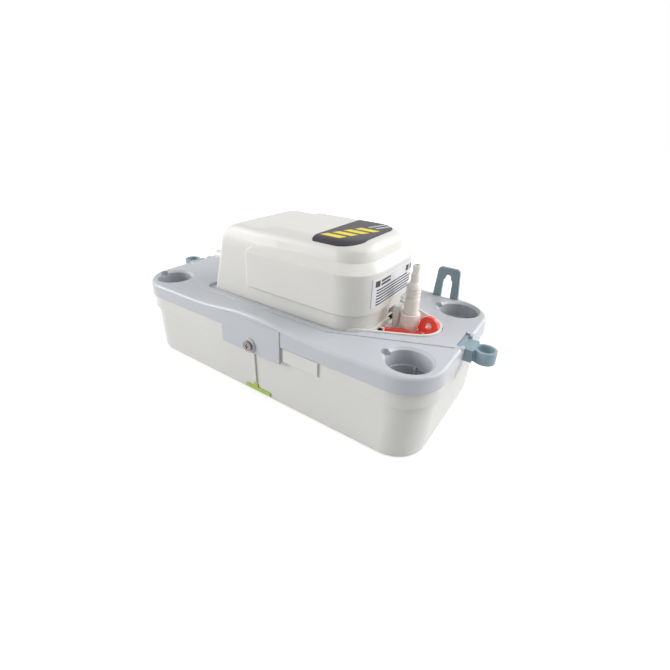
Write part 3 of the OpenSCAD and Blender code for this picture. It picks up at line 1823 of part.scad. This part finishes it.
tank();
tank_tag();
lid();
lid_screws();
pump_chassis();
motor_cover();
cover_screws();
top_label();
rating_label();
cable_gland();
lever_pins();
valve_body();
valve_poppet();
valve_spring();
outlet_adapter();
adapter_oring();
release_lever();
end_bracket_right();
end_bracket_left();
hanging_bracket_right();
hanging_bracket_left();
stator_core();
coil_bobbin();
stator_coil();
bearing_bridge_bottom();
bearing_bridge_top();
bearing_bottom();
bearing_top();
motor_bolts();
rubber_mounts();
rotor();
motor_shaft();
cooling_fan();
shaft_slinger();
shaft_seal();
impeller();
pump_casing();
casing_screws();
suction_strainer();
riser_tube();
float_guide();
float_body();
float_rod();
float_clip();
switch_bracket();
switch_lever();
pump_switch();
alarm_switch();
pump_plunger();
alarm_plunger();
terminal_block();
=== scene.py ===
# %% [markdown]
# This lesson dresses a condensate tank pump: a flat plastic reservoir with a lid, a motor housing on top,
# a stepped hose outlet with a red lever, and grey-blue brackets. The shapes come ready from the CAD model,
# so the first step loads them as a fixed frame, in metres, with +Z up and the origin under the tank.

# %% Load the pump
import bpy
import math
from mathutils import Matrix, Vector


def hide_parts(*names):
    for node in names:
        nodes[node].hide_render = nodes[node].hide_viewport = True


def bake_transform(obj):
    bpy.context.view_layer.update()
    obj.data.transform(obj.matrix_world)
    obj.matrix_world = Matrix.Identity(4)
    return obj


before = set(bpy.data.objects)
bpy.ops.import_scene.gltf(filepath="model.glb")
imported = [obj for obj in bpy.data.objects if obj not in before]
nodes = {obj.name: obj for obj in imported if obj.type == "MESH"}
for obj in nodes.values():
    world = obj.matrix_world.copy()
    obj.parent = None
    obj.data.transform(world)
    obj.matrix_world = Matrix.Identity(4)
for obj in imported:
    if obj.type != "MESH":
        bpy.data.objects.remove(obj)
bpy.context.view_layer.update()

# %% [markdown]
# The camera stands where the photographer stood: a short way off the front right corner and a little above.
# Its angles and distance were worked out from the edges of the tank. A real camera is rarely level, so it
# has a small roll too, and a small shift because the pump isn't in the middle of the picture.

# %% Camera
AZIMUTH, ELEVATION, ROLL = math.radians(34.76), math.radians(24.06), math.radians(1.87)
LOOKS_AT = Vector((0.01719, -0.00777, 0.06587))
DISTANCE = 0.34163

back = Vector((math.sin(AZIMUTH) * math.cos(ELEVATION), -math.cos(AZIMUTH) * math.cos(ELEVATION),
               math.sin(ELEVATION)))
level = Vector((math.cos(AZIMUTH), math.sin(AZIMUTH), 0))
right = Matrix.Rotation(ROLL, 3, back) @ level
up = back.cross(right)
lens = bpy.data.cameras.new("camera")
lens.sensor_width, lens.lens = 36, 21.977
lens.shift_x, lens.shift_y = 0.02575, -0.04878
lens.clip_start, lens.clip_end = 0.01, 20
camera = bpy.data.objects.new("camera", lens)
camera.matrix_world = Matrix.Translation(LOOKS_AT + back * DISTANCE) @ Matrix(
    (right, up, back)).transposed().to_4x4()
bpy.context.scene.collection.objects.link(camera)
bpy.context.scene.camera = camera
bpy.context.scene.view_settings.view_transform = "Standard"
print("camera at", [round(c, 3) for c in camera.matrix_world.translation])

# %% [markdown]
# Colours are written as the sRGB hex values that a paint program shows. Blender mixes light in linear
# values, so one function turns the one into the other.

# %% Colours


def linear(code):
    """An sRGB hex colour as linear red, green and blue, with 1 after them for opaque."""
    parts = [int(code[i:i + 2], 16) / 255 for i in (1, 3, 5)]
    return tuple(p / 12.92 if p <= 0.04045 else ((p + 0.055) / 1.055) ** 2.4 for p in parts) + (1.0,)


print("the lid's grey in linear values:", [round(c, 3) for c in linear("#C3C5CB")[:3]])

# %% [markdown]
# Every finish is a small graph of shader nodes. One function adds a node, sets its sockets and properties,
# and joins what feeds it. Sockets are named as Blender names them, or numbered where names repeat.

# %% Adding a node


def add(tree, kind, values=None, feeds=None):
    """Adds one shader node. values sets its sockets or properties, feeds joins its sockets to other nodes."""
    node = tree.nodes.new("ShaderNode" + kind)
    for name, value in (values or {}).items():
        if isinstance(name, str) and hasattr(node, name):
            setattr(node, name, value)
        else:
            node.inputs[name].default_value = value
    for name, source in (feeds or {}).items():
        tree.links.new(source, node.inputs[name])
    return node


def finish_named(name):
    """A new material with its coordinates, its main shader and its output."""
    material = bpy.data.materials.new(name)
    material.use_nodes = True
    tree = material.node_tree
    tree.nodes.clear()
    place = add(tree, "TexCoord").outputs["Object"]
    shader = add(tree, "BsdfPrincipled")
    add(tree, "OutputMaterial", feeds={"Surface": shader.outputs["BSDF"]})
    return material, tree, place, shader


def across(mm):
    """The scale of a pattern whose parts are so many millimetres across, where coordinates are metres."""
    return 1000 / mm


print("a grain of 0.5 mm has the scale", across(0.5))

# %% [markdown]
# Most of the pump is injection-moulded plastic. What the eye reads as moulded is a satin sheen that is not
# quite even, a very fine spark-eroded grain, broad and faint clouds in the colour, and edges that are never
# knife-sharp. The four parts are nodes: a grain that tilts the surface, clouds that tint it, a second noise
# that varies the roughness, and a bevel that rounds each edge for the light only.
# The real grain is about 0.1 mm, too fine for this picture, so it is drawn about ten times as coarse.

# %% Moulded plastic
GRAIN_MM = 1.1
CLOUD_MM = 38
PLASTIC_IOR = 1.5


def moulded(name, pale, deep, rough, edge_mm=0.5, grain=0.08):
    """A moulded plastic between two close colours, with fine grain, clouds and rounded edges."""
    material, tree, place, shader = finish_named(name)
    cloud = add(tree, "TexNoise", {"Scale": across(CLOUD_MM), "Detail": 2.0}, {"Vector": place})
    tint = add(tree, "Mix", {"data_type": "RGBA", 6: linear(deep), 7: linear(pale)}, {0: cloud.outputs[0]})
    sheen = add(tree, "MapRange", {"To Min": rough - 0.05, "To Max": rough + 0.06},
                {"Value": cloud.outputs[0]})
    speck = add(tree, "TexNoise", {"Scale": across(GRAIN_MM), "Detail": 3.0}, {"Vector": place})
    soft = add(tree, "Bevel", {"samples": 4, "Radius": edge_mm / 1000})
    relief = add(tree, "Bump", {"Strength": grain, "Distance": 0.0002},
                 {"Height": speck.outputs[0], "Normal": soft.outputs[0]})
    shader.inputs["IOR"].default_value = PLASTIC_IOR
    for socket, source in (("Base Color", tint.outputs[2]), ("Roughness", sheen.outputs[0]),
                           ("Normal", relief.outputs[0])):
        tree.links.new(source, shader.inputs[socket])
    return material


def coat(material, *names):
    """Gives CAD nodes a material in place of the one that they were loaded with."""
    for name in names:
        nodes[name].data.materials.clear()
        nodes[name].data.materials.append(material)
    print(material.name, "on", ", ".join(names))


# Natural polypropylene: slightly waxy, so a little rougher than ABS.
tank_polypropylene = moulded("tank_polypropylene", "#DFDFDB", "#D9D8D4", 0.46, grain=0.06)
coat(tank_polypropylene, "tank")
# Grey ABS with a fine satin grain on the lid.
lid_abs = moulded("lid_abs", "#C7CACF", "#C0C3C9", 0.34, grain=0.1)
coat(lid_abs, "lid")
# Off-white ABS on the motor housing, a bit smoother.
cover_abs = moulded("cover_abs", "#E0DFDB", "#DAD9D4", 0.38, edge_mm=0.8)
coat(cover_abs, "motor_cover")
# The white chassis is polypropylene with a polished mould.
chassis_polypropylene = moulded("chassis_polypropylene", "#EEEDE9", "#E8E7E2", 0.34)
coat(chassis_polypropylene, "pump_chassis", "cable_gland", "pump_casing", "float_guide", "switch_lever")
# Blue-grey nylon, satin.
bracket_nylon = moulded("bracket_nylon", "#98AEB8", "#8CA1AB", 0.42)
coat(bracket_nylon, "end_bracket_right", "end_bracket_left", "hanging_bracket_right", "hanging_bracket_left")
# Red acetal has a slippery gloss.
lever_acetal = moulded("lever_acetal", "#FF5444", "#FA4838", 0.26, edge_mm=0.6, grain=0.03)
coat(lever_acetal, "release_lever", "alarm_switch")
# Glass-filled black nylon for the parts near the motor and in the water.
black_nylon = moulded("black_nylon", "#2E2F33", "#26272A", 0.5)
coat(black_nylon, "coil_bobbin", "cooling_fan", "impeller", "suction_strainer", "pump_switch", "valve_poppet")
# Ivory nylon of the terminal block, the plungers, the float and the riser.
ivory_nylon = moulded("ivory_nylon", "#E9E6DD", "#E0DCD2", 0.4)
coat(ivory_nylon, "terminal_block", "pump_plunger", "alarm_plunger", "float_body", "riser_tube")

# %% [markdown]
# The valve body and the hose tail are natural nylon without pigment. Light goes a little way in and comes
# # out nearby, which makes thin walls glow. Subsurface scattering gives the glow. The pinker tint on the
# valve
# # body is painted red light from the red lever beside it, not a colour of the nylon.

# %% Natural nylon
GLOW_SHARE = 0.15
GLOW_TINT = (1.0, 0.8, 0.6)
GLOW_DEPTH_MM = 3


def natural_nylon(name, pale, deep):
    """Unpigmented nylon: a moulded plastic that light enters."""
    material = moulded(name, pale, deep, 0.3, edge_mm=0.4, grain=0.04)
    shader = next(n for n in material.node_tree.nodes if n.type == "BSDF_PRINCIPLED")
    shader.inputs["Subsurface Weight"].default_value = GLOW_SHARE
    shader.inputs["Subsurface Radius"].default_value = GLOW_TINT
    shader.inputs["Subsurface Scale"].default_value = GLOW_DEPTH_MM / 1000
    return material


tail_nylon = natural_nylon("tail_nylon", "#F8F3EA", "#F1EBE0")
coat(tail_nylon, "outlet_adapter")
# The pinker pale and deep tints here are painted red light from the lever.
valve_nylon_painted_red_light = natural_nylon("valve_nylon_painted_red_light", "#FBEFEA", "#F5E6E0")
coat(valve_nylon_painted_red_light, "valve_body")

# %% [markdown]
# Nitrile rubber is nearly black and dull, with a faint bloom of wax in patches that catches light.

# %% Rubber


def rubber(name, dark, bloom):
    """Moulded black rubber with patches of grey bloom."""
    material, tree, place, shader = finish_named(name)
    patches = add(tree, "TexNoise", {"Scale": across(6), "Detail": 4.0}, {"Vector": place})
    edge = add(tree, "ValToRGB", feeds={"Fac": patches.outputs[0]})
    edge.color_ramp.elements[0].position, edge.color_ramp.elements[1].position = 0.5, 0.75
    edge.color_ramp.elements[0].color, edge.color_ramp.elements[1].color = linear(dark), linear(bloom)
    grit = add(tree, "TexNoise", {"Scale": across(0.8)}, {"Vector": place})
    relief = add(tree, "Bump", {"Strength": 0.15, "Distance": 0.0002}, {"Height": grit.outputs[0]})
    shader.inputs["Roughness"].default_value = 0.75
    tree.links.new(edge.outputs[0], shader.inputs["Base Color"])
    tree.links.new(relief.outputs[0], shader.inputs["Normal"])
    return material


nitrile_rubber = rubber("nitrile_rubber", "#161616", "#2A2A2A")
coat(nitrile_rubber, "rubber_mounts", "adapter_oring", "shaft_slinger", "shaft_seal")

# %% [markdown]
# Metals keep the default IOR and are fully metallic. Zinc plating on screws is bright with a slight haze
# and faint rub marks. The same graph with other colours gives blackened pins, nickel-plated lid screws and
# bronze bearings.
# The streaks run one way because screws and shafts are turned and drawn.

# %% Metals


def metal(name, light, dark, rough, streak_mm):
    """A bare or plated metal with fine streaks along its length."""
    material, tree, place, shader = finish_named(name)
    squeeze = add(tree, "Mapping", {"Scale": (1.0, 1.0, 0.08)}, {"Vector": place})
    streak = add(tree, "TexNoise", {"Scale": across(streak_mm), "Detail": 4.0},
                 {"Vector": squeeze.outputs[0]})
    tint = add(tree, "Mix", {"data_type": "RGBA", 6: linear(dark), 7: linear(light)}, {0: streak.outputs[0]})
    haze = add(tree, "MapRange", {"To Min": rough - 0.07, "To Max": rough + 0.1},
               {"Value": streak.outputs[0]})
    soft = add(tree, "Bevel", {"samples": 4, "Radius": 0.0003})
    relief = add(tree, "Bump", {"Strength": 0.08, "Distance": 0.0001},
                 {"Height": streak.outputs[0], "Normal": soft.outputs[0]})
    shader.inputs["Metallic"].default_value = 1.0
    for socket, source in (("Base Color", tint.outputs[2]), ("Roughness", haze.outputs[0]),
                           ("Normal", relief.outputs[0])):
        tree.links.new(source, shader.inputs[socket])
    return material


zinc_plate = metal("zinc_plate", "#C4C5C6", "#9C9D9E", 0.32, 0.8)
coat(zinc_plate, "cover_screws", "motor_bolts", "casing_screws", "switch_bracket")
blackened_steel = metal("blackened_steel", "#343434", "#1E1E1E", 0.45, 0.8)
coat(blackened_steel, "lever_pins")
nickel_plate = metal("nickel_plate", "#B9B5AF", "#6E6A66", 0.2, 0.9)
coat(nickel_plate, "lid_screws")
bright_steel = metal("bright_steel", "#D0D0D1", "#B0B0B2", 0.22, 0.6)
coat(bright_steel, "valve_spring", "motor_shaft", "float_rod", "float_clip")
cast_zinc = metal("cast_zinc", "#B4B6B8", "#9A9C9F", 0.5, 1.6)
coat(cast_zinc, "bearing_bridge_bottom", "bearing_bridge_top")
sintered_bronze = metal("sintered_bronze", "#C49A5A", "#9C743C", 0.5, 0.7)
coat(sintered_bronze, "bearing_bottom", "bearing_top")

# %% [markdown]
# The motor's core is a stack of steel sheets 0.5 mm thick, and its coil is enamelled wire of the same size.
# Both show as fine parallel lines, so a wave pattern tints the surface and tilts it. The sheets are drawn
# at their real size, and the wires too.

# %% Laminations and winding
# A wave texture at scale 1 turns through this many radians in each unit.
WAVE_RATE = 20


def striped(name, light, dark, rough, pitch_mm, along):
    """Thin sheets or wires side by side: bands of so many millimetres across one axis."""
    material, tree, place, shader = finish_named(name)
    scale = across(pitch_mm) * math.tau / WAVE_RATE
    bands = add(tree, "TexWave", {"wave_type": "BANDS", "bands_direction": along, "Distortion": 0.4,
                                  "Scale": scale}, {"Vector": place})
    tint = add(tree, "Mix", {"data_type": "RGBA", 6: linear(dark), 7: linear(light)}, {0: bands.outputs[1]})
    relief = add(tree, "Bump", {"Strength": 0.5, "Distance": 0.0002}, {"Height": bands.outputs[1]})
    shader.inputs["Metallic"].default_value = 1.0
    shader.inputs["Roughness"].default_value = rough
    tree.links.new(tint.outputs[2], shader.inputs["Base Color"])
    tree.links.new(relief.outputs[0], shader.inputs["Normal"])
    return material


electrical_steel = striped("electrical_steel", "#8E9094", "#5C5E62", 0.45, 0.5, "Z")
coat(electrical_steel, "stator_core", "rotor")
enamelled_copper = striped("enamelled_copper", "#C4743A", "#7E3F1C", 0.35, 0.5, "Y")
coat(enamelled_copper, "stator_coil")

# %% [markdown]
# Printed films are a thin polyester sheet with ink under a clear satin coat. Every printed shape here is a
# plain rectangle, straight or slanted, and the ink is laid on one shape after another. Two coordinates give
# the place on the film: X and Y for a film on top, Y and Z for one on the end. A slant shears the first one
# by the second, which turns a rectangle into a slanted bar. The marks are a plain pattern of this lesson's
# own.

# %% Printed film
MM_PER_METRE = 1000.0
SOFT_STEP_MM = 0.1


def printed(name, pale, deep, axes, marks, rough=0.3):
    """A film with a field of two close tints and marks of (centre, half size, slant, colour), in mm."""
    material, tree, place, shader = finish_named(name)
    clouds = add(tree, "TexNoise", {"Scale": across(16)}, {"Vector": place})
    ink = add(tree, "Mix", {"data_type": "RGBA", 6: linear(deep), 7: linear(pale)},
              {0: clouds.outputs[0]}).outputs[2]
    parts = add(tree, "SeparateXYZ", feeds={0: place})
    for centre, half, slant, colour in marks:
        first, second = [add(tree, "Math", {"operation": "MULTIPLY_ADD", 1: MM_PER_METRE, 2: -middle},
                             {0: parts.outputs[axis]}).outputs[0] for axis, middle in zip(axes, centre)]
        first = add(tree, "Math", {"operation": "MULTIPLY_ADD", 1: -slant}, {0: second, 2: first}).outputs[0]
        # 1 inside both pairs of sides and 0 outside, with a soft step between.
        cover = 1.0
        for offset, size in ((first, half[0]), (second, half[1])):
            away = add(tree, "Math", {"operation": "ABSOLUTE"}, {0: offset}).outputs[0]
            inside = add(tree, "MapRange", {"From Min": size + SOFT_STEP_MM, "From Max": size},
                         {"Value": away}).outputs[0]
            cover = inside if cover == 1.0 else add(tree, "Math", {"operation": "MULTIPLY"},
                                                    {0: cover, 1: inside}).outputs[0]
        ink = add(tree, "Mix", {"data_type": "RGBA", 7: linear(colour)}, {0: cover, 6: ink}).outputs[2]
    grit = add(tree, "TexNoise", {"Scale": across(1.5)}, {"Vector": place})
    relief = add(tree, "Bump", {"Strength": 0.05, "Distance": 0.0001}, {"Height": grit.outputs[0]})
    shader.inputs["Roughness"].default_value = rough
    tree.links.new(ink, shader.inputs["Base Color"])
    tree.links.new(relief.outputs[0], shader.inputs["Normal"])
    return material


AMBER, SILVER, GRAPHITE = "#EBD81E", "#B9BCC4", "#2E2F33"
SLANT = 0.35
top_marks = [((47 + SLANT * (y + 10), y), (8, 3.2), SLANT, AMBER) for y in (-26, -16, -6, 4)]
top_marks += [((x, 20), (1.4, 8), SLANT, SILVER) for x in (58, 52)]
label_film = printed("label_film", "#2F2C35", "#28252D", "XY", top_marks, 0.45)
coat(label_film, "top_label")

end_marks = [((middle, z), (half, 0.5), 0, GRAPHITE) for z, middle, half in (
    (99.4, -4, 24), (97.2, 0, 28), (95, -1, 27), (92.8, 0, 28), (90.6, -3, 25), (88.4, 0, 28))]
end_marks += [((-16, z), (7, 0.8), 0, GRAPHITE) for z in (105.2, 102.6)]
end_marks += [((middle, 104), (2.4, 2.2), 0, GRAPHITE) for middle in (-27, 19, 26)]
ruled_film = printed("ruled_film", "#E6E7EA", "#DEDFE3", "YZ", end_marks)
coat(ruled_film, "rating_label")

# %% [markdown]
# The strip low on the tank is a green film. In the photograph it has no border and fades a little.

# %% Green strip
green_film, tree, place, shader = finish_named("green_film")
clouds = add(tree, "TexNoise", {"Scale": across(7), "Detail": 3.0}, {"Vector": place})
tint = add(tree, "Mix", {"data_type": "RGBA", 6: linear("#9DB944"), 7: linear("#B4CC5E")},
           {0: clouds.outputs[0]})
tree.links.new(tint.outputs[2], shader.inputs["Base Color"])
shader.inputs["Roughness"].default_value = 0.35
coat(green_film, "tank_tag")

# %% [markdown]
# A plastic part that was loaded as many flat faces is shaded smooth where they meet at a shallow angle and
# kept crisp at real edges. Only the way light is read from the faces changes: the points stay where they
# are. Points that share a place are found by rounding it to a thousandth of a millimetre.

# %% Smooth shading


def shade_smooth(piece, angle):
    """Blends the shading of faces that meet at less than an angle, with larger faces counting for more."""
    mesh = piece.data
    meeting = {}
    for face in mesh.polygons:
        for corner in face.loop_indices:
            spot = tuple(round(c * 1e6) for c in mesh.vertices[mesh.loops[corner].vertex_index].co)
            meeting.setdefault(spot, []).append((corner, face))
    limit = math.cos(angle)
    normals = [None] * len(mesh.loops)
    for group in meeting.values():
        for corner, face in group:
            total = Vector()
            for _, other in group:
                if face.normal.dot(other.normal) > limit:
                    total += other.normal * other.area
            normals[corner] = total.normalized() if total.length > 0 else face.normal.copy()
    mesh.normals_split_custom_set(normals)


SHALLOW = math.radians(32)
for name in ("tank", "lid", "motor_cover", "top_label", "pump_casing", "valve_spring"):
    shade_smooth(nodes[name], SHALLOW)
    print("smooth:", name, len(nodes[name].data.polygons), "faces")

# %% [markdown]
# The return spring of the check valve is wound wire between the poppet and a ledge. When the poppet lifts,
# # the spring shortens, so its lower end goes with the poppet and its upper end stays. The spring here has
# # the same points as the solid one and stands in for it.

# %% Return spring
coil = bpy.data.objects.new("return_spring", nodes["valve_spring"].data.copy())
bpy.context.scene.collection.objects.link(coil)
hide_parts("valve_spring")
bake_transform(coil)

# %% [markdown]
# The pump stands on a wide pale floor that meets the camera as white, as in a product photograph. The floor
# is a plain diffuse surface, which keeps the soft shadow under the tank. For camera rays alone, and for what
# gloss and clear plastic see, a little glow is added. It grows with the distance from the pump, so that the
# floor is white all the way out and no horizon shows.

# %% Floor
FLOOR_HALF = 5.0
NEAR, FAR = 0.25, 0.9
GLOW_NEAR, GLOW_FAR = 0.62, 1.0
floor_mesh = bpy.data.meshes.new("floor")
corners = [(x * FLOOR_HALF, y * FLOOR_HALF, 0) for x, y in ((-1, -1), (1, -1), (1, 1), (-1, 1))]
floor_mesh.from_pydata(corners, [], [(0, 1, 2, 3)])
floor = bpy.data.objects.new("floor", floor_mesh)
bpy.context.scene.collection.objects.link(floor)


def seen_directly(tree):
    """1 for what the camera, gloss and clear plastic see, and 0 for light that falls on the pump."""
    rays = add(tree, "LightPath")
    seen = rays.outputs["Is Camera Ray"]
    for kind in ("Is Glossy Ray", "Is Transmission Ray"):
        seen = add(tree, "Math", {"operation": "MAXIMUM"}, {0: seen, 1: rays.outputs[kind]}).outputs[0]
    return seen


floor_paint = bpy.data.materials.new("floor_paint")
floor_paint.use_nodes = True
tree = floor_paint.node_tree
tree.nodes.clear()
away = add(tree, "VectorMath", {"operation": "LENGTH"}, {0: add(tree, "TexCoord").outputs["Object"]})
spread = add(tree, "MapRange", {"From Min": NEAR, "From Max": FAR, "To Min": GLOW_NEAR, "To Max": GLOW_FAR},
             {"Value": away.outputs["Value"]})
level = add(tree, "Math", {"operation": "MULTIPLY"}, {0: spread.outputs[0], 1: seen_directly(tree)})
matt = add(tree, "BsdfDiffuse", {"Color": linear("#C8C8C8")})
glow = add(tree, "Emission", {"Color": (1, 1, 1, 1)}, {"Strength": level.outputs[0]})
both = add(tree, "AddShader", feeds={0: matt.outputs[0], 1: glow.outputs[0]})
add(tree, "OutputMaterial", feeds={"Surface": both.outputs[0]})
floor_mesh.materials.append(floor_paint)
print("floor", 2 * FLOOR_HALF, "m wide")

# %% [markdown]
# Small goods are often photographed between two soft boxes, with little light from the camera's own side.
# The front and the end of the tank are then bright, and the corner between them turns darker, which shows
# how round it is. A third box above and a fourth behind light the deck, and a dim room fills the rest.
# Places and sizes are in metres, and powers in watts.

# %% Light
LIT_POINT = Vector((0, 0, 0.05))
ROOM_LIGHT = 0.3


def lamp(name, place, size, power):
    """A square soft box that faces the pump."""
    light = bpy.data.lights.new(name, "AREA")
    light.size, light.energy = size, power
    holder = bpy.data.objects.new(name, light)
    holder.location = place
    holder.rotation_euler = (LIT_POINT - Vector(place)).to_track_quat("-Z", "Y").to_euler()
    bpy.context.scene.collection.objects.link(holder)


lamp("left_box", (-1.35, -1.1, 0.55), 0.9, 25)
lamp("right_box", (1.4, 0.6, 0.9), 0.9, 14)
lamp("top_box", (0.8, 0.0, 1.8), 1.0, 8.5)
lamp("back_box", (1.0, 1.5, 0.9), 0.9, 13)
world = bpy.data.worlds.new("room")
bpy.context.scene.world = world
world.use_nodes = True
tree = world.node_tree
tree.nodes.clear()
level = add(tree, "MapRange", {"To Min": ROOM_LIGHT, "To Max": 1.0}, {"Value": seen_directly(tree)})
room = add(tree, "Background", {"Color": (1, 1, 1, 1)}, {"Strength": level.outputs[0]})
add(tree, "OutputWorld", feeds={"Surface": room.outputs[0]})
print("four soft boxes and a dim room")
